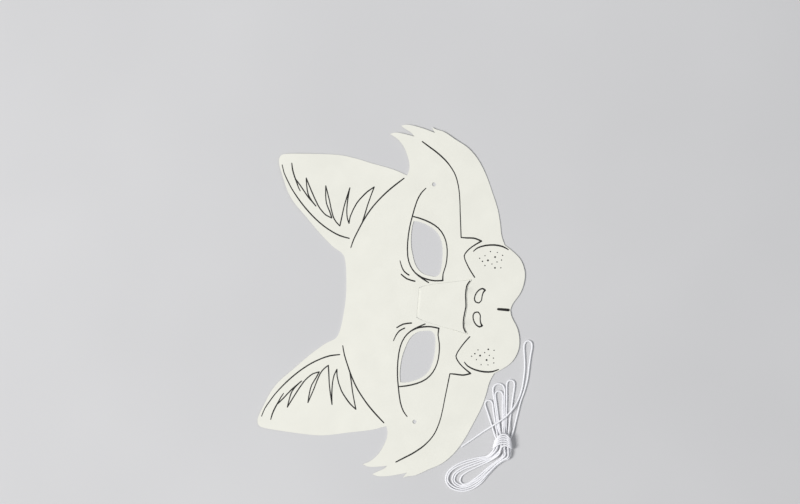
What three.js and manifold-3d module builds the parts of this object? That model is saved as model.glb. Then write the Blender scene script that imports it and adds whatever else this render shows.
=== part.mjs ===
// A fox mask of white card, die-cut and printed with black lines, and the hank of white elastic for its holes.
// Millimetres. The mask lies flat, print up. +X is to the right of the printed face, +Y is towards the ears.
// The origin is under the middle of the mask.
import * as THREE from "three";
import { mergeVertices } from "three/addons/utils/BufferGeometryUtils.js";
import Module from "manifold-3d";

// Driving sizes of the mask
const mask_width = 240.8;
const mask_height = 173.8;
const card_thickness = 0.5;
const hole_diameter = 2.8;
const slit_width = 0.4;
const crease_width = 0.7;
const crease_depth = 0.12;

// Driving sizes of the print
const ink_thickness = 0.1;
const line_width = 0.85;
const slit_margin = 0.25;

// Driving sizes of the elastic
const elastic_diameter = 1.2;
const wrap_length = 11.6;
const wrap_height = 6;
const wrap_width_at_fan = 9.6;
const wrap_width_at_loops = 14.4;
const surface_gap = 0.05;
const tube_ring_spacing = 3;

// Points worked out between two rows of an outline and of a printed line, and sides of a round end
const outline_steps = 3;
const line_steps = 2;
const end_sides = 3;
const hole_sides = 20;
const wrap_sides = 5;
const tube_sides = 8;

const card_colour = 0xe9e9e1;
const ink_colour = 0x1c1c1b;
const elastic_colour = 0xf0f0f4;

// Every table of the mask has these columns. across is the share of half the mask's width from its middle
// line, up is the share of its height from the chin, and pen is the share of the line's width, 1 if not given.
const columns = ["across", "up", "pen"];

function table(...rows) {
  return rows.map((row) => Object.fromEntries(columns.map((name, i) => [name, row[i]])));
}

// The card's right edge, from the middle of the forehead down to the middle of the chin.
// Each table is one smooth run, and the runs meet at sharp corners.
const edge_runs = {
  forehead_and_ear: table(
    [0.000, 0.694], [0.042, 0.695], [0.100, 0.698], [0.166, 0.703], [0.220, 0.712],
    [0.245, 0.724], [0.270, 0.754], [0.303, 0.783], [0.355, 0.823], [0.433, 0.876],
    [0.516, 0.932], [0.577, 0.959], [0.660, 0.983], [0.708, 0.996], [0.735, 1.000],
    [0.757, 0.998], [0.772, 0.990], [0.780, 0.970], [0.787, 0.922], [0.797, 0.806],
    [0.797, 0.754], [0.786, 0.699], [0.767, 0.639], [0.741, 0.549], [0.714, 0.494],
  ),
  top_tuft_inside: table(
    [0.714, 0.494], [0.748, 0.487], [0.786, 0.489], [0.820, 0.497], [0.875, 0.516],
    [0.918, 0.545], [0.940, 0.574],
  ),
  top_tuft_outside: table([0.940, 0.574], [0.950, 0.555], [0.950, 0.532], [0.937, 0.478]),
  middle_tuft_inside: table([0.937, 0.478], [0.955, 0.489], [0.978, 0.518], [0.992, 0.533]),
  middle_tuft_outside: table([0.992, 0.533], [1.000, 0.512], [0.998, 0.486], [0.987, 0.447], [0.967, 0.398]),
  low_tuft_inside: table([0.967, 0.398], [0.983, 0.406], [0.997, 0.412]),
  cheek: table(
    [0.997, 0.412], [0.986, 0.392], [0.978, 0.365], [0.939, 0.316], [0.899, 0.265],
    [0.847, 0.227], [0.792, 0.200], [0.734, 0.178], [0.669, 0.158], [0.569, 0.129],
    [0.488, 0.114], [0.415, 0.104], [0.365, 0.089],
  ),
  muzzle: table(
    [0.365, 0.089], [0.344, 0.066], [0.303, 0.030], [0.268, 0.013], [0.218, 0.001],
    [0.177, 0.000], [0.133, 0.005], [0.091, 0.016], [0.054, 0.032], [0.029, 0.041],
    [0.000, 0.046],
  ),
};

// The eye opening's edge, one smooth run from its outer corner round to the same corner
const eye_edge = table(
  [0.459, 0.453], [0.458, 0.432], [0.444, 0.400], [0.418, 0.367], [0.380, 0.344],
  [0.322, 0.331], [0.239, 0.328], [0.177, 0.333], [0.155, 0.348], [0.157, 0.374],
  [0.166, 0.400], [0.189, 0.421], [0.223, 0.436], [0.264, 0.446], [0.314, 0.455],
  [0.380, 0.459], [0.434, 0.457], [0.459, 0.453],
);

const hole_place = table([0.676, 0.385])[0];

// The nose flap's cut side, from the crease down, and the half of the nose line from the middle outwards
const flap_side = table([0.085, 0.409], [0.098, 0.386], [0.120, 0.322], [0.135, 0.270], [0.154, 0.208]);
const nose_line = table([0.000, 0.223], [0.062, 0.228], [0.117, 0.226], [0.143, 0.216]);

// The printed lines of the right side. Each line is one or more smooth strokes that touch.
const side_lines = {
  ear_rim: [
    table(
      [0.715, 0.986, 0.7], [0.671, 0.976, 0.8], [0.629, 0.960, 0.9], [0.585, 0.941, 0.9], [0.540, 0.917],
      [0.500, 0.893, 1.1], [0.462, 0.867, 1.1], [0.425, 0.838, 1.1], [0.391, 0.806, 1.1], [0.363, 0.772, 1.1],
      [0.342, 0.738, 1.2], [0.331, 0.700],
    ),
  ],
  ear_fur: [
    table(
      [0.729, 0.949, 0.8], [0.694, 0.944, 1.1], [0.655, 0.934, 1.1], [0.627, 0.925], [0.595, 0.915, 0.9],
      [0.576, 0.907, 0.7],
    ),
    table([0.642, 0.930], [0.608, 0.909], [0.575, 0.891], [0.542, 0.872], [0.517, 0.854], [0.498, 0.841]),
    table([0.498, 0.841], [0.528, 0.860], [0.561, 0.875], [0.606, 0.883, 0.9], [0.652, 0.888, 0.9]),
    table(
      [0.652, 0.888, 0.9], [0.589, 0.866], [0.501, 0.832], [0.472, 0.815], [0.452, 0.799], [0.438, 0.775],
    ),
    table([0.438, 0.775], [0.473, 0.785], [0.516, 0.800, 0.9], [0.561, 0.806, 0.9], [0.617, 0.809, 0.9]),
    table([0.617, 0.809, 0.9], [0.537, 0.790, 0.9], [0.449, 0.771], [0.418, 0.757], [0.397, 0.741]),
    table([0.397, 0.741], [0.449, 0.736], [0.505, 0.731, 0.9], [0.561, 0.723], [0.617, 0.714, 0.9]),
    table([0.617, 0.714, 0.9], [0.561, 0.718], [0.494, 0.719, 0.9], [0.449, 0.715, 0.9], [0.416, 0.706]),
    table(
      [0.416, 0.706], [0.456, 0.703, 0.9], [0.534, 0.682], [0.572, 0.663, 1.1], [0.605, 0.643, 1.1],
      [0.633, 0.619],
    ),
    table([0.633, 0.619], [0.582, 0.629, 0.9], [0.527, 0.639, 0.9], [0.472, 0.647], [0.423, 0.655]),
    table(
      [0.279, 0.691, 0.8], [0.328, 0.682], [0.379, 0.668], [0.423, 0.655, 1.1], [0.473, 0.638, 1.1],
      [0.523, 0.617, 1.1], [0.567, 0.594, 1.1], [0.612, 0.567, 1.2], [0.656, 0.536, 1.2], [0.696, 0.505],
    ),
  ],
  eye: [
    table(
      [0.650, 0.416, 0.8], [0.622, 0.432], [0.573, 0.447], [0.485, 0.460], [0.422, 0.467],
      [0.339, 0.470], [0.256, 0.465], [0.202, 0.451], [0.166, 0.430, 1.1], [0.140, 0.404, 1.1],
      [0.118, 0.375],
    ),
    table(
      [0.165, 0.429, 1.1], [0.145, 0.406, 1.3], [0.135, 0.380, 1.3], [0.131, 0.351, 1.2],
      [0.136, 0.320, 1.2],
    ),
    table(
      [0.136, 0.320, 1.2], [0.173, 0.321, 0.9], [0.223, 0.313, 0.9], [0.281, 0.311, 0.9], [0.339, 0.316, 0.9],
      [0.389, 0.330], [0.430, 0.354, 1.1], [0.458, 0.388, 1.2], [0.477, 0.429, 1.2], [0.485, 0.460],
    ),
  ],
  brow_long: [table([0.228, 0.494, 0.7], [0.194, 0.485, 0.9], [0.168, 0.473, 1.1], [0.151, 0.454, 1.1])],
  brow_short: [table([0.152, 0.485], [0.129, 0.461, 1.2], [0.119, 0.429, 1.2])],
  cheek: [
    table(
      [0.912, 0.445], [0.885, 0.415, 1.2], [0.860, 0.387, 1.2], [0.822, 0.352, 1.2], [0.790, 0.330],
      [0.754, 0.311, 0.9], [0.713, 0.297, 0.9], [0.638, 0.283, 0.8], [0.532, 0.274, 0.8], [0.388, 0.262, 0.9],
    ),
    table(
      [0.388, 0.262, 0.9], [0.388, 0.242, 1.2], [0.390, 0.213, 1.3], [0.386, 0.199, 1.3],
      [0.377, 0.181, 1.3],
    ),
    table(
      [0.377, 0.181, 1.3], [0.342, 0.215], [0.312, 0.235], [0.285, 0.244, 0.9], [0.244, 0.232, 0.9],
      [0.203, 0.214], [0.169, 0.196],
    ),
  ],
  muzzle: [
    table(
      [0.316, 0.209, 0.8], [0.336, 0.195, 1.1], [0.354, 0.164, 1.3], [0.361, 0.127, 1.4], [0.356, 0.096, 1.3],
      [0.341, 0.073, 0.8],
    ),
  ],
  nostril: [
    table([0.101, 0.151, 1.5], [0.089, 0.157, 1.1], [0.065, 0.161, 0.9], [0.042, 0.162, 0.9], [0.026, 0.171]),
    table(
      [0.026, 0.171], [0.030, 0.184, 1.1], [0.047, 0.190], [0.076, 0.186], [0.099, 0.175, 1.1],
      [0.109, 0.161, 1.3], [0.101, 0.151, 1.5],
    ),
  ],
};
const mouth_line = table([0.000, 0.094, 2.0], [0.000, 0.053, 2.3]);

// The elastic's own points, in millimetres from the origin, kept as they lie.
// The loose stretch: x, y and height of its middle, from its free end at the cheek, over the fan and round
// into the wrap. Height 0 is lying on the surface.
const loose_route = [
  [-95.8, -53.2, 0], [-93.2, -56.4, 0], [-90.6, -59.7, 0], [-87.0, -64.0, 0], [-83.2, -68.6, 0.2],
  [-79.6, -73.2, 1.3], [-76.4, -77.3, 1.7], [-72.6, -81.6, 1.7], [-68.4, -85.1, 1.7], [-64.4, -87.5, 1.5],
  [-60.0, -89.5, 0.4], [-54.0, -91.1, 0], [-46.0, -91.9, 0], [-38.0, -92.0, 0], [-30.0, -91.1, 0],
  [-24.8, -90.4, 0], [-22.4, -90.5, 0], [-20.6, -91.3, 0], [-19.8, -93.1, 0], [-20.6, -94.9, 0],
  [-22.4, -95.7, 0], [-24.8, -95.8, 0], [-30.0, -95.3, 0], [-38.0, -94.9, 0], [-46.0, -94.5, 0],
  [-54.0, -93.1, 0], [-62.0, -91.0, 0], [-70.0, -89.7, 0], [-77.0, -88.6, 0.1], [-81.6, -87.8, 0.5],
  [-84.6, -87.0, 1.0],
];
// The bundle of loops at the hank's long end, from above the wrap round to below it: x and y of its outer
// edge, then x and y of its inner edge
const loops_edges = [
  [-92.0, -75.6, -92.0, -81.2], [-97.4, -73.6, -98.2, -79.8], [-100.4, -70.6, -102.0, -76.4],
  [-101.8, -64.8, -105.6, -71.4], [-104.6, -56.8, -109.2, -65.2], [-108.2, -50.2, -112.6, -59.4],
  [-113.4, -45.0, -116.2, -55.5], [-119.2, -43.9, -119.4, -55.1], [-124.3, -47.0, -120.8, -57.3],
  [-126.7, -54.6, -119.4, -60.6], [-125.2, -61.8, -115.6, -64.8], [-120.8, -68.0, -111.6, -68.8],
  [-113.8, -73.4, -107.6, -72.6], [-107.4, -78.4, -103.8, -76.8], [-103.2, -83.0, -100.2, -80.6],
  [-100.6, -86.7, -97.2, -81.7], [-92.0, -87.4, -92.0, -82.0],
];
const loops_height = 2.6;
// The outline of the loops that fan out at the other end, and the middle of the wrap between the two
const fan_outline = [
  [-88.0, -78.0], [-84.6, -77.8], [-79.6, -75.2], [-73.4, -70.0], [-67.6, -67.4], [-61.2, -67.6],
  [-57.4, -70.0], [-52.0, -71.6], [-48.4, -74.4], [-48.0, -78.2], [-46.4, -82.0], [-48.2, -86.0],
  [-53.0, -87.4], [-64.0, -87.0], [-76.0, -86.6], [-82.0, -85.4], [-88.0, -84.2],
];
const fan_height = 1.4;
const wrap_middle = [-89.5, -81.0];

const wasm = await Module();
wasm.setup();

function place(row, side = 1) {
  const x = (side * row.across * mask_width) / 2;
  const y = (row.up - 0.5) * mask_height;
  return new THREE.Vector2(x, y);
}

// A smooth curve through the rows, as points whose z is the printed line's width there
function smooth(rows, side, steps) {
  const knots = rows.map((row) => {
    const { x, y } = place(row, side);
    return new THREE.Vector3(x, y, (row.pen ?? 1) * line_width);
  });
  return new THREE.CatmullRomCurve3(knots, false, "centripetal").getPoints((rows.length - 1) * steps);
}

// The points of the right half and of its mirror image as one line through the middle
function mirrored(rows) {
  const left = rows.slice(1).reverse();
  return [...left.map((row) => ({ ...row, across: -row.across })), ...rows];
}

// The outline of a band of changing width along a path, with round ends
function band_outline(path, widths) {
  const flat = path.map(({ x, y }) => new THREE.Vector2(x, y));
  const centre = new THREE.Vector2();
  const normals = flat.map((_, i) => {
    const before = flat[Math.max(i - 1, 0)];
    const after = flat[Math.min(i + 1, flat.length - 1)];
    return after.clone().sub(before).normalize().rotateAround(centre, Math.PI / 2);
  });
  const shifted = (i, turn) => {
    const aside = normals[i].clone().rotateAround(centre, turn);
    return aside.multiplyScalar(widths[i] / 2).add(flat[i]);
  };
  const last = flat.length - 1;
  const outline = flat.map((_, i) => shifted(i, 0));
  for (let k = 1; k < end_sides; k += 1) {
    outline.push(shifted(last, (-Math.PI * k) / end_sides));
  }
  for (let i = last; i >= 0; i -= 1) {
    outline.push(shifted(i, Math.PI));
  }
  for (let k = 1; k < end_sides; k += 1) {
    outline.push(shifted(0, Math.PI - (Math.PI * k) / end_sides));
  }
  return outline;
}

function plate(outline, bottom, height) {
  const options = { depth: height, bevelEnabled: false };
  const geometry = new THREE.ExtrudeGeometry(new THREE.Shape(outline), options);
  return geometry.translate(0, 0, bottom);
}

function solid(geometry) {
  geometry.deleteAttribute("normal");
  geometry.deleteAttribute("uv");
  const merged = mergeVertices(geometry, 1e-4);
  return new wasm.Manifold(new wasm.Mesh({
    numProp: 3,
    vertProperties: merged.attributes.position.array,
    triVerts: Uint32Array.from(merged.index.array),
  }));
}

function faceted(manifold) {
  const { vertProperties, triVerts, numProp } = manifold.getMesh();
  const geometry = new THREE.BufferGeometry();
  const positions = [];
  for (let i = 0; i < vertProperties.length; i += numProp) {
    positions.push(vertProperties[i], vertProperties[i + 1], vertProperties[i + 2]);
  }
  geometry.setAttribute("position", new THREE.Float32BufferAttribute(positions, 3));
  geometry.setIndex([...triVerts]);
  geometry.computeVertexNormals();
  return geometry;
}

function joined(solids) {
  return solids.reduce((whole, piece) => whole.add(piece));
}

// The whole edge of the card, out along the right side and back along the left
function card_outline() {
  const right = Object.values(edge_runs).flatMap((rows) => smooth(rows, 1, outline_steps).slice(0, -1));
  const chin = place(edge_runs.muzzle.at(-1));
  const left = right.slice(1).map(({ x, y }) => new THREE.Vector2(-x, y)).reverse();
  return [...right.map(({ x, y }) => new THREE.Vector2(x, y)), chin, ...left];
}

// What is cut right through the card
function through_cutter(outline) {
  return solid(plate(outline, -card_thickness, 3 * card_thickness));
}

function eye_cutter(side) {
  const edge = smooth(eye_edge, side, outline_steps).slice(0, -1);
  return through_cutter(edge.map(({ x, y }) => new THREE.Vector2(x, y)));
}

function hole_cutter(side) {
  const { x, y } = place(hole_place, side);
  const radius = hole_diameter / 2;
  const rim = [];
  for (let k = 0; k < hole_sides; k += 1) {
    const turn = (2 * Math.PI * k) / hole_sides;
    rim.push(new THREE.Vector2(x + radius * Math.cos(turn), y + radius * Math.sin(turn)));
  }
  return through_cutter(rim);
}

// The flap is cut down both sides and just under the nose line, and its top stays joined by a crease
function flap_cutters() {
  const width = (path) => path.map(() => slit_width);
  const drop = (line_width + slit_width) / 2 + slit_margin;
  const nose = smooth(mirrored(nose_line), 1, line_steps);
  const under_line = nose.map(({ x, y }) => new THREE.Vector2(x, y - drop));
  const corners = [place(flap_side.at(-1), -1), place(flap_side.at(-1), 1)];
  const bottom = [corners[0], ...under_line, corners[1]];
  const sides = [1, -1].map((side) => smooth(flap_side, side, line_steps));
  return [bottom, ...sides].map((path) => through_cutter(band_outline(path, width(path))));
}

function crease_cutter() {
  const ends = [place(flap_side[0], -1), place(flap_side[0], 1)];
  const outline = band_outline(ends, [crease_width, crease_width]);
  return solid(plate(outline, card_thickness - crease_depth, card_thickness));
}

function mask_card() {
  const openings = [eye_cutter(1), eye_cutter(-1), hole_cutter(1), hole_cutter(-1)];
  const cutters = [...openings, ...flap_cutters(), crease_cutter()];
  const blank = solid(plate(card_outline(), 0, card_thickness));
  return cutters.reduce((card, cutter) => card.subtract(cutter), blank);
}

function printed(strokes) {
  const bands = strokes.map((path) => band_outline(path, path.map((point) => point.z)));
  return joined(bands.map((outline) => solid(plate(outline, card_thickness, ink_thickness))));
}

function printed_side(strokes, side) {
  return printed(strokes.map((rows) => smooth(rows, side, line_steps)));
}

function spline_2d(points, steps) {
  const knots = points.map(([x, y]) => new THREE.Vector3(x, y, 0));
  return new THREE.CatmullRomCurve3(knots, false, "centripetal").getPoints((points.length - 1) * steps);
}

// The turns that tie the hank: a flat tube across it, wider towards the loops
function wrap_solid() {
  const radius = wrap_height / 2;
  const half_width = wrap_width_at_fan / 2;
  const section = new THREE.Shape();
  section.absarc(half_width - radius, radius, radius, -Math.PI / 2, Math.PI / 2, false);
  section.absarc(radius - half_width, radius, radius, Math.PI / 2, (3 * Math.PI) / 2, false);
  const along_hank = { depth: wrap_length, bevelEnabled: false, curveSegments: wrap_sides };
  const tube = new THREE.ExtrudeGeometry(section, along_hank);
  const widening = (wrap_width_at_loops - wrap_width_at_fan) / wrap_width_at_fan;
  const corners = tube.attributes.position;
  for (let i = 0; i < corners.count; i += 1) {
    const along = corners.getZ(i) / wrap_length;
    const across = corners.getX(i) * (1 + widening * along);
    const [x, y] = wrap_middle;
    corners.setXYZ(i, x + (0.5 - along) * wrap_length, y - across, corners.getY(i));
  }
  return solid(tube);
}

function elastic_hank() {
  const outer_edge = spline_2d(loops_edges.map(([x, y]) => [x, y]), line_steps);
  const inner_edge = spline_2d(loops_edges.map(([, , x, y]) => [x, y]), line_steps);
  const loops_outline = [...outer_edge, ...inner_edge.reverse()].map(({ x, y }) => new THREE.Vector2(x, y));
  const loops = solid(plate(loops_outline, surface_gap, loops_height));
  const fan = solid(plate(fan_outline.map(([x, y]) => new THREE.Vector2(x, y)), surface_gap, fan_height));
  return joined([wrap_solid(), loops, fan]);
}

// The loose stretch as a plain tube, lifted so that it lies on the surface
function elastic_loose_end() {
  const radius = elastic_diameter / 2;
  const knots = loose_route.map(([x, y, height]) => new THREE.Vector3(x, y, height + radius + surface_gap));
  const path = new THREE.CatmullRomCurve3(knots, false, "centripetal");
  const section = [];
  for (let k = 0; k < tube_sides; k += 1) {
    const turn = (2 * Math.PI * k) / tube_sides;
    section.push(new THREE.Vector2(radius * Math.cos(turn), radius * Math.sin(turn)));
  }
  const steps = Math.round(path.getLength() / tube_ring_spacing);
  return new THREE.ExtrudeGeometry(new THREE.Shape(section), { steps, extrudePath: path });
}

const card_material = new THREE.MeshStandardMaterial({ color: card_colour, roughness: 0.85, metalness: 0 });
const ink_material = new THREE.MeshStandardMaterial({ color: ink_colour, roughness: 0.6, metalness: 0 });
const elastic_look = { color: elastic_colour, roughness: 0.8, metalness: 0 };
const elastic_material = new THREE.MeshStandardMaterial(elastic_look);

const mask = new THREE.Group();

function add(name, geometry, material) {
  const mesh = new THREE.Mesh(geometry, material);
  mesh.name = name;
  mask.add(mesh);
}

add("mask_card", faceted(mask_card()), card_material);
for (const [name, strokes] of Object.entries(side_lines)) {
  add(`print_${name}_right`, faceted(printed_side(strokes, 1)), ink_material);
  add(`print_${name}_left`, faceted(printed_side(strokes, -1)), ink_material);
}
add("print_nose", faceted(printed([smooth(mirrored(nose_line), 1, line_steps)])), ink_material);
add("print_mouth", faceted(printed([smooth(mouth_line, 1, line_steps)])), ink_material);
add("elastic_hank", faceted(elastic_hank()), elastic_material);
add("elastic_loose_end", elastic_loose_end(), elastic_material);

export default mask;
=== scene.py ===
"""The looks of a paper fox mask and its elastic cord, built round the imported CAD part.

Lengths are in metres, but the elastic's are in millimetres until its route is done, as in the CAD source.
"""

import math

import bmesh
import bpy
import numpy as np
from mathutils import Matrix, Vector


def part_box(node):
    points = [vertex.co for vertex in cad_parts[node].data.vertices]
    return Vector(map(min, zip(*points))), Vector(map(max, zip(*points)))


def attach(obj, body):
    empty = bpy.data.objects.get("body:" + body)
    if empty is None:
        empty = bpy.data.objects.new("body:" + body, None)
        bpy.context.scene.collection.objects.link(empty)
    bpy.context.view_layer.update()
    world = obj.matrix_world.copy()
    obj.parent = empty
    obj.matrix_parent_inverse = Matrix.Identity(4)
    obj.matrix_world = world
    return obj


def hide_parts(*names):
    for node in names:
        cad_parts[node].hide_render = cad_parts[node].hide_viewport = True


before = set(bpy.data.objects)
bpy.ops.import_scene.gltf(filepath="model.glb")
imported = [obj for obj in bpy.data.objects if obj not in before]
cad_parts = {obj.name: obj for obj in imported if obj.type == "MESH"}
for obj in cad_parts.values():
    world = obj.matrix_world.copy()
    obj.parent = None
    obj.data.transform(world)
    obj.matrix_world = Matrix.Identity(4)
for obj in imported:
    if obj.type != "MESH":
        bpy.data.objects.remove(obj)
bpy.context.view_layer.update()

MM = 0.001

# The card, as the frame has it
CARD_LOW, CARD_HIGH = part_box("mask_card")
MASK_WIDTH = CARD_HIGH.x - CARD_LOW.x
MASK_HEIGHT = CARD_HIGH.y - CARD_LOW.y
CARD_TOP = CARD_HIGH.z
INK_THICKNESS = 0.03 * MM

# The grid that the card and its print are cut along, so that they can bend, how near each other corners are joined
# and cuts meet them, and the angle from which an edge stays sharp
CELL = 4 * MM
JOIN_WITHIN = 0.001 * MM
CUT_WITHIN = 0.0001 * MM
SHARP_FROM = math.radians(30)

# How far the card stands off the surface where it curls
EAR_LIFT_RIGHT = 1.3 * MM
EAR_LIFT_LEFT = 0.9 * MM
CHEEK_LIFT_RIGHT = 1.0 * MM
CHEEK_LIFT_LEFT = 0.6 * MM
CHIN_LIFT = 0.5 * MM
FLAP_LIFT = 0.5 * MM

# Where each curl starts and where it is full, as shares of the mask's width or height from its middle
EAR_CURL_UP = (0.15, 0.55)
EAR_CURL_ACROSS = (0.0, 0.2)
CHEEK_CURL_ACROSS = (0.32, 0.54)
CHEEK_CURL_DOWN = (-0.25, 0.0)
CHIN_CURL_DOWN = (0.3, 0.52)
FLAP_CURL_POWER = 1.2

# How much of the cuts round the flap is closed, so that they are as thin as a blade leaves them, and the share
# of the flap's length over which its sides go from the crease to that
CUT_CLOSED = 0.36 * MM
CUT_CLOSED_FROM_CREASE = 0.1

# The elastic, in millimetres as in the CAD source. In diameters: the smallest bend, the height of one strand over
# another where they cross, and how far inside the wrap's sides the outermost strands lie.
ELASTIC_DIAMETER = 1.2
SURFACE_GAP = 0.05
LYING = SURFACE_GAP + ELASTIC_DIAMETER / 2
ROUTE_STEP = 0.8
SMALLEST_BEND = 2.1
CROSSING_CLEARANCE = 1.12
INSIDE_WRAP = 1.5

# The wrap round the hank. Its turns arch towards the fan, more at the fan's end than at the loops' end.
WRAP_MIDDLE = (-89.5, -81.0)
WRAP_LENGTH = 11.6
WRAP_HEIGHT = 6.0
WRAP_WIDTH_AT_FAN = 9.6
WRAP_WIDTH_AT_LOOPS = 14.4
WRAP_TURNS = 5
POINTS_PER_TURN = 24
WRAP_PITCH_AT_SIDES = 1.02
WRAP_ARCH_AT_LOOPS = 2.75
WRAP_SLANT_AT_LOOPS = 0.1

# Where the strands leave the wrap, along the hank from the wrap's middle
LOOPS_EXIT = -5.2
FAN_EXIT = -0.3

# The camera, straight above the sheet, turned so that the ears point to the picture's left
CAMERA_CENTRE = (33.4 * MM, -0.55 * MM)
CAMERA_HEIGHT = 0.9
CAMERA_TURN = math.radians(-85.29)
FIELD_WIDTH = 0.547
SENSOR_WIDTH = 36.0

# The floor, a hair below the card's back
FLOOR_SIZE = 16
FLOOR_DROP = 0.02 * MM

# The nose flap: half its width at each height, as shares, from the crease down, and the cut under the nose line
FLAP_SIDE = [(0.085, 0.409), (0.098, 0.386), (0.120, 0.322), (0.135, 0.270), (0.154, 0.208)]
FLAP_BOTTOM = [(0.000, 0.218), (0.062, 0.223), (0.117, 0.221), (0.143, 0.211), (0.154, 0.208)]

# The painted highlight where the flap's crease catches the light, a pale band painted into the card's colour: how
# wide it is, how much of that is its soft edge, and how much brighter the card's colour is painted there
CREASE_HIGHLIGHT_BAND = 1.5 * MM
CREASE_SOFT_EDGE = 0.35
CREASE_HIGHLIGHT_GAIN = 1.055

# The whisker dots of the right side: across and up as shares of the mask, and the diameter in millimetres
WHISKER_DOTS = [
    (0.279, 0.183, 0.85), (0.263, 0.171, 1.0), (0.296, 0.163, 0.8), (0.240, 0.160, 0.85), (0.271, 0.150, 1.35),
    (0.322, 0.143, 0.85), (0.252, 0.133, 0.8), (0.232, 0.120, 1.2), (0.293, 0.123, 1.3), (0.266, 0.114, 0.85),
    (0.320, 0.116, 0.75), (0.235, 0.097, 0.85), (0.279, 0.097, 0.85), (0.306, 0.094, 0.85),
]
DOT_SIDES = 14

# The loose stretch of the elastic: x, y and height over the surface, from its free end round into the wrap
LOOSE_ROUTE = [
    (-95.8, -53.2, 0), (-93.2, -56.4, 0), (-90.6, -59.7, 0), (-87.0, -64.0, 0), (-83.2, -68.6, 0.2),
    (-79.6, -73.2, 1.3), (-76.4, -77.3, 1.7), (-72.6, -81.6, 1.7), (-68.4, -85.1, 1.7), (-64.4, -87.5, 1.5),
    (-60.0, -89.5, 0.4), (-54.0, -91.1, 0), (-46.0, -91.9, 0), (-38.0, -92.0, 0), (-30.0, -91.1, 0),
    (-24.8, -90.4, 0), (-22.4, -90.5, 0), (-20.6, -91.3, 0), (-19.8, -93.1, 0), (-20.6, -94.9, 0),
    (-22.4, -95.7, 0), (-24.8, -95.8, 0), (-30.0, -95.3, 0), (-38.0, -94.9, 0), (-46.0, -94.5, 0),
    (-54.0, -93.1, 0), (-62.0, -91.0, 0), (-70.0, -89.7, 0), (-77.0, -88.6, 0.1), (-81.6, -87.8, 0.5),
    (-84.6, -87.0, 1.0),
]

# The bundle of loops at the hank's long end, from above the wrap round to below it: x and y of its outer edge,
# then x and y of its inner edge
LOOPS_EDGES = [
    (-97.4, -73.6, -98.2, -79.8), (-100.4, -70.6, -102.0, -76.4), (-101.8, -64.8, -105.6, -71.4),
    (-104.6, -56.8, -109.2, -65.2), (-108.2, -50.2, -112.6, -59.4), (-113.4, -45.0, -116.2, -55.5),
    (-119.2, -43.9, -119.4, -55.1), (-124.3, -47.0, -120.8, -57.3), (-126.7, -54.6, -119.4, -60.6),
    (-125.2, -61.8, -115.6, -64.8), (-120.8, -68.0, -111.6, -68.8), (-113.8, -73.4, -107.6, -72.6),
    (-107.4, -78.4, -103.8, -76.8), (-103.2, -83.0, -100.2, -80.6), (-100.6, -86.7, -97.2, -81.7),
]

# The five loops' places across the bundle, 0 outermost: side by side along the legs, and in groups at the far
# end, and the widths of the bundle between which they part into groups
LOOPS_SIDE_BY_SIDE = (0.0, 0.25, 0.5, 0.75, 1.0)
LOOPS_IN_GROUPS = (0.0, 0.13, 0.45, 0.6, 1.0)
GROUPS_START_WIDTH = 7.2
GROUPS_FULL_WIDTH = 10.2

# Where each of the nine strands lies in the wrap: the share of its half width, from the mask's side outwards,
# and the height of its middle
LOW_LAYER = 1.9
SIDE_LAYER = 2.6
HIGH_LAYER = 4.1
OVER_ALL = 5.6
SLOTS = [
    (-1.00, SIDE_LAYER), (-0.75, HIGH_LAYER), (-0.50, LOW_LAYER), (-0.25, HIGH_LAYER), (0.00, LOW_LAYER),
    (0.25, HIGH_LAYER), (0.50, LOW_LAYER), (0.75, HIGH_LAYER), (1.00, SIDE_LAYER),
]

# The loops' heights beside the wrap, as shares of their height in it: the first rows of the table of their
# edges, and its last rows
DOWN_AT_UPPER_ROWS = (0.72, 0.36)
UP_AT_LOWER_ROWS = (0.36, 0.6, 0.86)

# How the fan's strands come down: the share of the leg, and the share of the height that is left
FAN_OUT_OF_WRAP = 0.6
FAN_DESCENT = [(0.14, 0.66), (0.30, 0.22), (0.50, 0.0), (0.76, 0.0)]
BEND_POINTS = 6

# The fan's loops, by the slots of their two ends: where each one's bend has its middle, its radius, and its
# turn from the hank's line in degrees
FAN_LOOPS = {
    (0, 1): ((-65.0, -69.5), 2.5, 21),
    (7, 6): ((-50.2, -83.4), 2.6, -1),
    (2, 5): ((-54.6, -75.5), 3.9, 12),
    (3, 4): ((-58.2, -75.9), 2.5, 12),
}


def smooth_line(points, step):
    """Points about a step apart along a centripetal Catmull-Rom curve through the given ones."""
    knots = np.array(points, float)
    knots = np.vstack([2 * knots[0] - knots[1], knots, 2 * knots[-1] - knots[-2]])
    line = []
    for a, b, c, d in zip(knots, knots[1:], knots[2:], knots[3:]):
        t = np.cumsum([0.0] + [math.sqrt(np.linalg.norm(q - p)) for p, q in ((a, b), (b, c), (c, d))])
        count = max(1, round(np.linalg.norm(c - b) / step))
        for u in np.linspace(t[1], t[2], count, endpoint=False):
            ab = (a * (t[1] - u) + b * (u - t[0])) / (t[1] - t[0])
            bc = (b * (t[2] - u) + c * (u - t[1])) / (t[2] - t[1])
            cd = (c * (t[3] - u) + d * (u - t[2])) / (t[3] - t[2])
            near = (ab * (t[2] - u) + bc * (u - t[0])) / (t[2] - t[0])
            far = (bc * (t[3] - u) + cd * (u - t[1])) / (t[3] - t[1])
            line.append((near * (t[2] - u) + far * (u - t[1])) / (t[2] - t[1]))
    return np.array(line + [knots[-2]])


def smooth_step(value, low, high):
    """0 below low, 1 above high, and a smooth rise between."""
    share = np.clip((value - low) / (high - low), 0, 1)
    return share * share * (3 - 2 * share)


def place(across, up):
    """A place on the mask from its shares."""
    return across * MASK_WIDTH / 2, CARD_LOW.y + up * MASK_HEIGHT


def flap_half_width(y):
    """Half the nose flap's width at each height."""
    side_x, side_y = np.array([place(*row) for row in FLAP_SIDE]).T
    return np.interp(y, side_y[::-1], side_x[::-1])


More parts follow.
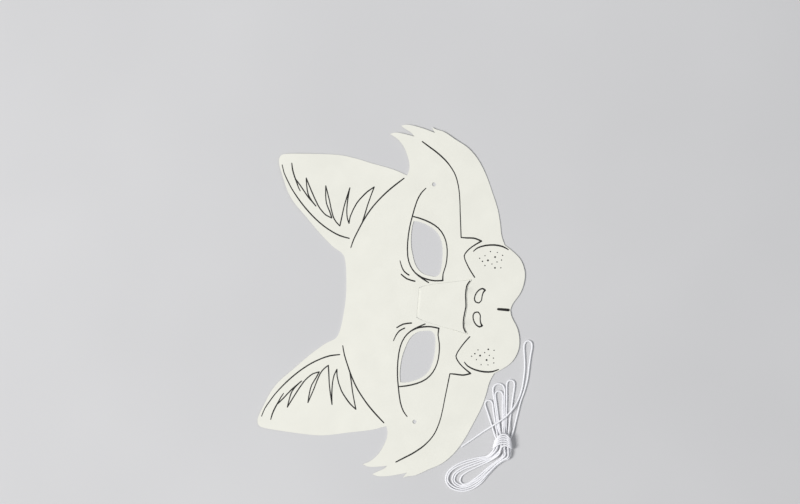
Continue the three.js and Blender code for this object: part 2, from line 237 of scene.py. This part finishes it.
def on_flap(x, y):
    """Which places are on the nose flap, inside its cuts."""
    bottom_x, bottom_y = np.array([place(*row) for row in FLAP_BOTTOM]).T
    bottom = np.interp(np.abs(x), bottom_x, bottom_y)
    crease = place(*FLAP_SIDE[0])[1]
    return (np.abs(x) < flap_half_width(y)) & (y > bottom) & (y < crease)


def flap_opening(y):
    """The share of the flap's length from its crease down to each height."""
    crease = place(*FLAP_SIDE[0])[1]
    foot = place(*FLAP_SIDE[-1])[1]
    return np.clip((crease - y) / (crease - foot), 0, 1)


def close_cuts(corners):
    """Moves the flap's edges out towards the card round it."""
    x, y = corners[:, 0].copy(), corners[:, 1].copy()
    flap = on_flap(x, y)
    opening = flap_opening(y)
    from_crease = smooth_step(opening, 0, CUT_CLOSED_FROM_CREASE)
    corners[:, 0] += np.where(flap, CUT_CLOSED * x / flap_half_width(y) * from_crease, 0)
    corners[:, 1] -= np.where(flap, CUT_CLOSED * opening, 0)


def card_lift(x, y):
    """How far the card stands off the surface at each place."""
    across = np.abs(x) / MASK_WIDTH
    up = y / MASK_HEIGHT
    ear = np.where(x > 0, EAR_LIFT_RIGHT, EAR_LIFT_LEFT)
    ear = ear * smooth_step(up, *EAR_CURL_UP) * smooth_step(across, *EAR_CURL_ACROSS)
    cheek = np.where(x > 0, CHEEK_LIFT_RIGHT, CHEEK_LIFT_LEFT)
    cheek = cheek * smooth_step(across, *CHEEK_CURL_ACROSS) * smooth_step(-up, *CHEEK_CURL_DOWN)
    chin = CHIN_LIFT * smooth_step(-up, *CHIN_CURL_DOWN)
    flap = np.where(on_flap(x, y), FLAP_LIFT * flap_opening(y) ** FLAP_CURL_POWER, 0)
    return np.maximum(ear, cheek) + chin + flap


def node_mesh(node, name):
    """A plain copy of a CAD node's mesh, with its split corners joined."""
    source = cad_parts[node].data
    mesh = bpy.data.meshes.new(name)
    mesh.from_pydata([v.co[:] for v in source.vertices], [], [p.vertices[:] for p in source.polygons])
    work = bmesh.new()
    work.from_mesh(mesh)
    bmesh.ops.remove_doubles(work, verts=work.verts, dist=JOIN_WITHIN)
    work.to_mesh(mesh)
    work.free()
    return mesh


def cut_into_cells(mesh):
    """Cuts a flat mesh along a square grid, so that it can bend."""
    work = bmesh.new()
    work.from_mesh(mesh)
    for axis in (0, 1):
        places = [v.co[axis] for v in work.verts]
        for k in range(math.ceil(min(places) / CELL), math.floor(max(places) / CELL) + 1):
            across = Vector((0, 0, 0))
            across[axis] = 1
            everything = work.verts[:] + work.edges[:] + work.faces[:]
            spot = across * (k * CELL)
            bmesh.ops.bisect_plane(work, geom=everything, dist=CUT_WITHIN, plane_co=spot, plane_no=across)
    work.to_mesh(mesh)
    work.free()


def curl(mesh, thickness=None):
    """Moves a mesh of the card or of its print with the card's curl, and sets how thick the print is."""
    corners = np.empty(len(mesh.vertices) * 3)
    mesh.vertices.foreach_get("co", corners)
    corners = corners.reshape(-1, 3)
    if thickness is not None:
        printed_top = corners[:, 2].max()
        corners[:, 2] = CARD_TOP + (corners[:, 2] - CARD_TOP) / (printed_top - CARD_TOP) * thickness
    corners[:, 2] += card_lift(corners[:, 0], corners[:, 1])
    close_cuts(corners)
    mesh.vertices.foreach_set("co", corners.ravel())
    mesh.polygons.foreach_set("use_smooth", [True] * len(mesh.polygons))
    mesh.set_sharp_from_angle(angle=SHARP_FROM)
    mesh.update()


def add_piece(mesh, material, slot, *nodes):
    """Shows a mesh or curve as a piece of the object, in place of CAD nodes."""
    piece = bpy.data.objects.new(mesh.name, mesh)
    bpy.context.scene.collection.objects.link(piece)
    mesh.materials.append(material)
    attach(piece, "root")
    if nodes:
        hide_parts(*nodes)
    return piece


def new_material(name):
    """An empty procedural material, with its nodes and its shader."""
    material = bpy.data.materials.new(name)
    material.use_nodes = True
    nodes = material.node_tree.nodes
    shader = nodes["Principled BSDF"]
    return material, nodes, material.node_tree.links, shader


def noise(nodes, links, scale, detail):
    """A noise texture with that many features to a metre."""
    place_on_piece = nodes.new("ShaderNodeTexCoord")
    texture = nodes.new("ShaderNodeTexNoise")
    texture.inputs["Scale"].default_value = scale
    texture.inputs["Detail"].default_value = detail
    links.new(place_on_piece.outputs["Object"], texture.inputs["Vector"])
    return texture.outputs["Fac"]


def colour_ramp(nodes, links, value, stops):
    """Colours along a value, from (place, colour) stops."""
    ramp = nodes.new("ShaderNodeValToRGB")
    for stop, (position, colour) in zip(ramp.color_ramp.elements, stops):
        stop.position = position
        stop.color = (*colour, 1)
    links.new(value, ramp.inputs["Fac"])
    return ramp.outputs["Color"]


def bump(nodes, links, shader, height, distance, strength):
    """Small relief on a shader, from a height."""
    relief = nodes.new("ShaderNodeBump")
    relief.inputs["Distance"].default_value = distance
    relief.inputs["Strength"].default_value = strength
    links.new(height, relief.inputs["Height"])
    links.new(relief.outputs["Normal"], shader.inputs["Normal"])


def band(nodes, links, value, middle, half_width, inside):
    """That much inside a band of values, 0 outside it, and a smooth change at its edges."""
    offset = nodes.new("ShaderNodeMath")
    offset.operation = "SUBTRACT"
    offset.inputs[1].default_value = middle
    distance = nodes.new("ShaderNodeMath")
    distance.operation = "ABSOLUTE"
    edge = nodes.new("ShaderNodeMapRange")
    edge.interpolation_type = "SMOOTHSTEP"
    edge.inputs["From Min"].default_value = half_width * (1 - CREASE_SOFT_EDGE)
    edge.inputs["From Max"].default_value = half_width
    edge.inputs["To Min"].default_value = inside
    edge.inputs["To Max"].default_value = 0
    links.new(value, offset.inputs[0])
    links.new(offset.outputs[0], distance.inputs[0])
    links.new(distance.outputs[0], edge.inputs["Value"])
    return edge.outputs["Result"]


def painted_crease_highlight(nodes, links, colour):
    """The card's colour, brighter in a narrow band below the flap's crease: a painted highlight where the crease
    catches the light.
    """
    spot = nodes.new("ShaderNodeTexCoord")
    axes = nodes.new("ShaderNodeSeparateXYZ")
    links.new(spot.outputs["Object"], axes.inputs["Vector"])
    half_length, crease = place(*FLAP_SIDE[0])
    along = band(nodes, links, axes.outputs["X"], 0, half_length, 1)
    # Painted highlight: the card's colour is made brighter in a band just below the crease, across the flap's
    # width
    below = band(nodes, links, axes.outputs["Y"], crease - CREASE_HIGHLIGHT_BAND / 2, CREASE_HIGHLIGHT_BAND / 2, CREASE_HIGHLIGHT_GAIN - 1)
    gain = nodes.new("ShaderNodeMath")
    gain.operation = "MULTIPLY_ADD"
    gain.inputs[2].default_value = 1
    links.new(along, gain.inputs[0])
    links.new(below, gain.inputs[1])
    brightened = nodes.new("ShaderNodeVectorMath")
    brightened.operation = "SCALE"
    links.new(colour, brightened.inputs["Vector"])
    links.new(gain.outputs[0], brightened.inputs["Scale"])
    return brightened.outputs["Vector"]


def card_material():
    """Matte ivory card with faint clouds and fibres, and a painted highlight in a pale band at the flap's crease.
    """
    material, nodes, links, shader = new_material("card")
    clouds = noise(nodes, links, 60, 3)
    colour = colour_ramp(nodes, links, clouds, [(0.3, (0.790, 0.786, 0.716)), (0.7, (0.822, 0.818, 0.746))])
    links.new(painted_crease_highlight(nodes, links, colour), shader.inputs["Base Color"])
    shader.inputs["Roughness"].default_value = 0.62
    shader.inputs["Specular IOR Level"].default_value = 0.35
    bump(nodes, links, shader, noise(nodes, links, 2600, 4), 0.02 * MM, 0.35)
    return material


def ink_material():
    """Dull black print."""
    material, nodes, links, shader = new_material("ink")
    patches = noise(nodes, links, 700, 2)
    colour = colour_ramp(nodes, links, patches, [(0.35, (0.011, 0.011, 0.010)), (0.75, (0.019, 0.018, 0.017))])
    links.new(colour, shader.inputs["Base Color"])
    shader.inputs["Roughness"].default_value = 0.5
    shader.inputs["Specular IOR Level"].default_value = 0.3
    return material


def elastic_material():
    """White thread-covered elastic, with a fine grain."""
    material, nodes, links, shader = new_material("elastic")
    tint = noise(nodes, links, 900, 2)
    colour = colour_ramp(nodes, links, tint, [(0.3, (0.83, 0.83, 0.87)), (0.7, (0.89, 0.89, 0.91))])
    links.new(colour, shader.inputs["Base Color"])
    shader.inputs["Roughness"].default_value = 0.85
    shader.inputs["Specular IOR Level"].default_value = 0.2
    bump(nodes, links, shader, noise(nodes, links, 2400, 2), 0.08 * MM, 0.5)
    return material


def floor_material():
    """Plain pale table top."""
    material, nodes, links, shader = new_material("floor")
    clouds = noise(nodes, links, 6, 2)
    colour = colour_ramp(nodes, links, clouds, [(0.3, (0.60, 0.60, 0.61)), (0.7, (0.63, 0.63, 0.64))])
    links.new(colour, shader.inputs["Base Color"])
    shader.inputs["Roughness"].default_value = 0.9
    shader.inputs["Specular IOR Level"].default_value = 0.2
    return material


def show_card(material):
    """The card, cut into cells and curled a little."""
    mesh = node_mesh("mask_card", "card")
    cut_into_cells(mesh)
    curl(mesh)
    add_piece(mesh, material, "card", "mask_card")


def show_print(material):
    """Each printed line, thin and curled as the card is."""
    for node in sorted(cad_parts):
        if node.startswith("print_"):
            mesh = node_mesh(node, node.replace("print_", "ink_"))
            cut_into_cells(mesh)
            curl(mesh, INK_THICKNESS)
            add_piece(mesh, material, "ink", node)


def show_whisker_dots(material):
    """The small printed dots beside the nose, one mesh for both sides."""
    work = bmesh.new()
    for side in (1, -1):
        for across, up, diameter in WHISKER_DOTS:
            x, y = place(side * across, up)
            radius = diameter * MM / 2
            bmesh.ops.create_cone(
                work,
                cap_ends=True,
                segments=DOT_SIDES,
                radius1=radius,
                radius2=radius,
                depth=INK_THICKNESS,
                matrix=Matrix.Translation((x, y, CARD_TOP + INK_THICKNESS / 2)),
            )
    mesh = bpy.data.meshes.new("ink_whisker_dots")
    work.to_mesh(mesh)
    work.free()
    curl(mesh)
    add_piece(mesh, material, "ink")


def wrap_width(along):
    """How wide the wrap is at a place along the hank, from the wrap's middle."""
    share = along / WRAP_LENGTH + 0.5
    return WRAP_WIDTH_AT_LOOPS + (WRAP_WIDTH_AT_FAN - WRAP_WIDTH_AT_LOOPS) * share


def slot_point(slot, at_loops, out=0.0):
    """Where a strand leaves the wrap, or that far out of it."""
    across, height = SLOTS[slot]
    along = LOOPS_EXIT if at_loops else FAN_EXIT
    x = WRAP_MIDDLE[0] + along + (-out if at_loops else out)
    y = WRAP_MIDDLE[1] - across * (wrap_width(along) / 2 - INSIDE_WRAP * ELASTIC_DIAMETER)
    return np.array([x, y, height])


def through_wrap(slot, to_loops):
    """A strand's run through the wrap."""
    return [slot_point(slot, not to_loops), slot_point(slot, to_loops)]


def long_loop(k, upper_height, lower_height):
    """One of the five nested loops at the hank's long end, 0 outermost, from above the wrap to below it."""
    rows = np.array(LOOPS_EDGES, float)
    outer, inner = rows[:, :2], rows[:, 2:]
    apart = inner - outer
    ahead = np.gradient((outer + inner) / 2, axis=0)
    ahead /= np.linalg.norm(ahead, axis=1)[:, None]
    width = np.abs(apart[:, 0] * ahead[:, 1] - apart[:, 1] * ahead[:, 0])
    grouped = smooth_step(width, GROUPS_START_WIDTH, GROUPS_FULL_WIDTH)
    side_by_side, in_groups = np.array(LOOPS_SIDE_BY_SIDE), np.array(LOOPS_IN_GROUPS)
    shares = side_by_side + np.outer(grouped, in_groups - side_by_side)
    inset = ELASTIC_DIAMETER / 2 / width
    flat = outer + apart * (inset + shares[:, k] * (1 - 2 * inset))[:, None]
    lift = np.zeros(len(rows))
    if k % 2:
        share_apart = np.minimum(shares[:, k] - shares[:, k - 1], shares[:, k + 1] - shares[:, k])
        gap = share_apart * (width - ELASTIC_DIAMETER)
        lift = np.sqrt(np.maximum(0, (CROSSING_CLEARANCE * ELASTIC_DIAMETER) ** 2 - gap ** 2))
    heights = LYING + lift
    heights[:2] = np.maximum(heights[:2], np.array(DOWN_AT_UPPER_ROWS) * upper_height)
    heights[-3:] = np.maximum(heights[-3:], np.array(UP_AT_LOWER_ROWS) * lower_height)
    return list(np.column_stack([flat, heights]))


def fan_loop(start_slot, end_slot):
    """A loop of the fan, out of one slot, round its bend and back into another slot."""
    tip, radius, degrees = FAN_LOOPS[start_slot, end_slot]
    turn = math.radians(degrees)
    along = np.array([math.cos(turn), math.sin(turn), 0])
    aside = np.array([-math.sin(turn), math.cos(turn), 0])
    side = 1 if start_slot < end_slot else -1
    middle = np.array([*tip, LYING])
    bend = []
    for angle in np.linspace(0, math.pi, BEND_POINTS):
        bend.append(middle + radius * (math.cos(angle) * side * aside + math.sin(angle) * along))
    legs = []
    for slot, end in ((start_slot, bend[0]), (end_slot, bend[-1])):
        start = slot_point(slot, False, FAN_OUT_OF_WRAP)
        leg = [start]
        for share, rise in FAN_DESCENT:
            point = start + (end - start) * share
            point[2] = LYING + (start[2] - LYING) * rise
            leg.append(point)
        legs.append(leg)
    return legs[0] + bend + legs[1][::-1]


def wrap_turns():
    """The turns round the hank, from its long end to the fan, flat ovals that arch towards the fan on top."""
    radius = (WRAP_HEIGHT - ELASTIC_DIAMETER) / 2
    side_run = WRAP_TURNS * WRAP_PITCH_AT_SIDES
    arch_at_fan = WRAP_LENGTH - ELASTIC_DIAMETER - side_run
    points = []
    for i in range(1, int((WRAP_TURNS + 0.5) * POINTS_PER_TURN) + 1):
        turns = i / POINTS_PER_TURN
        share = turns / WRAP_TURNS
        side_at = (ELASTIC_DIAMETER - WRAP_LENGTH) / 2 + side_run * share
        width = wrap_width(side_at)
        flat = (width - ELASTIC_DIAMETER) / 2 - radius
        arc = math.pi * radius
        whole_turn = 2 * (2 * flat + arc)
        along = ((turns % 1) * whole_turn + flat) % whole_turn
        if along < 2 * flat:
            y, z = flat - along, radius
        elif along < 2 * flat + arc:
            angle = (along - 2 * flat) / radius
            y, z = -flat - radius * math.sin(angle), radius * math.cos(angle)
        elif along < 4 * flat + arc:
            y, z = along - 3 * flat - arc, -radius
        else:
            angle = (along - 4 * flat - arc) / radius
            y, z = flat + radius * math.sin(angle), -radius * math.cos(angle)
        arch = WRAP_ARCH_AT_LOOPS + (arch_at_fan - WRAP_ARCH_AT_LOOPS) * share
        arch *= (1 - (2 * y / width) ** 2) * ((1 + z / radius) / 2) ** 2
        slant = WRAP_SLANT_AT_LOOPS * (1 - share) * y
        x = WRAP_MIDDLE[0] + side_at + arch - slant
        points.append(np.array([x, WRAP_MIDDLE[1] + y, WRAP_HEIGHT / 2 + z]))
    return points


def bend_into(first_turn):
    """The bend by which the last loop's strand turns into the wrap, at the smallest radius it takes."""
    radius = SMALLEST_BEND * ELASTIC_DIAMETER
    middle = first_turn - (radius, 0, 0)
    angles = (math.pi / 2, math.pi / 4)
    return [middle + radius * np.array([math.cos(angle), math.sin(angle), 0]) for angle in angles]


def elastic_route():
    """The whole elastic as one line, from its free end through the hank to the end of the wrap."""
    route = [np.array([x, y, height + LYING]) for x, y, height in LOOSE_ROUTE]
    route += through_wrap(8, True)
    route += long_loop(0, SIDE_LAYER, SIDE_LAYER)[::-1]
    route += through_wrap(0, False)
    route += fan_loop(0, 1)
    route += through_wrap(1, True)
    route += long_loop(1, HIGH_LAYER, HIGH_LAYER)
    route += through_wrap(7, False)
    route += fan_loop(7, 6)
    route += through_wrap(6, True)
    route += long_loop(2, LOW_LAYER, LOW_LAYER)[::-1]
    route += through_wrap(2, False)
    route += fan_loop(2, 5)
    route += through_wrap(5, True)
    route += long_loop(3, HIGH_LAYER, HIGH_LAYER)[::-1]
    route += through_wrap(3, False)
    route += fan_loop(3, 4)
    route += through_wrap(4, True)
    route += long_loop(4, OVER_ALL, LOW_LAYER)[::-1]
    turns = wrap_turns()
    route += bend_into(turns[0]) + turns
    return smooth_line(route, ROUTE_STEP) * MM


def show_elastic(material):
    """The elastic cord, one round strand all along."""
    line = elastic_route()
    curve = bpy.data.curves.new("elastic", "CURVE")
    curve.dimensions = "3D"
    curve.bevel_depth = ELASTIC_DIAMETER / 2 * MM
    curve.bevel_resolution = 3
    curve.use_fill_caps = True
    spline = curve.splines.new("POLY")
    spline.points.add(len(line) - 1)
    spline.points.foreach_set("co", np.column_stack([line, np.ones(len(line))]).ravel())
    spline.use_smooth = True
    piece = add_piece(curve, material, "elastic", "elastic_hank", "elastic_loose_end")


def show_floor(material):
    """The plain surface under the mask."""
    bpy.ops.mesh.primitive_plane_add(size=FLOOR_SIZE, location=(0, 0, -FLOOR_DROP))
    floor = bpy.context.object
    floor.name = "floor"
    floor.data.materials.append(material)


def add_camera():
    """Straight above the sheet, with the ears to the picture's left."""
    camera = bpy.data.cameras.new("camera")
    camera.sensor_width = SENSOR_WIDTH
    camera.lens = SENSOR_WIDTH * CAMERA_HEIGHT / FIELD_WIDTH
    view = bpy.data.objects.new("camera", camera)
    view.location = (*CAMERA_CENTRE, CAMERA_HEIGHT)
    view.rotation_euler = (0, 0, CAMERA_TURN)
    bpy.context.scene.collection.objects.link(view)
    bpy.context.scene.camera = view


def add_light(name, place_at, size, power, colour):
    """A square soft light that faces the mask."""
    light = bpy.data.lights.new(name, "AREA")
    light.shape = "SQUARE"
    light.size = size
    light.energy = power
    light.color = colour
    lamp = bpy.data.objects.new(name, light)
    lamp.location = place_at
    lamp.rotation_euler = (-Vector(place_at)).to_track_quat("-Z", "Y").to_euler()
    bpy.context.scene.collection.objects.link(lamp)


def add_lighting():
    """One large soft window light, a weak fill and a pale surround."""
    add_light("window", (-0.5, 2.35, 2.65), 1.3, 117, (1.0, 0.99, 0.975))
    add_light("fill", (0.9, -2.2, 2.6), 3.0, 14.7, (0.95, 0.97, 1.0))
    world = bpy.data.worlds.new("surround")
    world.use_nodes = True
    background = world.node_tree.nodes["Background"]
    background.inputs["Color"].default_value = (0.95, 0.97, 1.0, 1)
    background.inputs["Strength"].default_value = 0.33
    bpy.context.scene.world = world
    bpy.context.scene.view_settings.view_transform = "Standard"


add_camera()
show_elastic(elastic_material())
show_card(card_material())
ink = ink_material()
show_print(ink)
show_whisker_dots(ink)
show_floor(floor_material())
add_lighting()
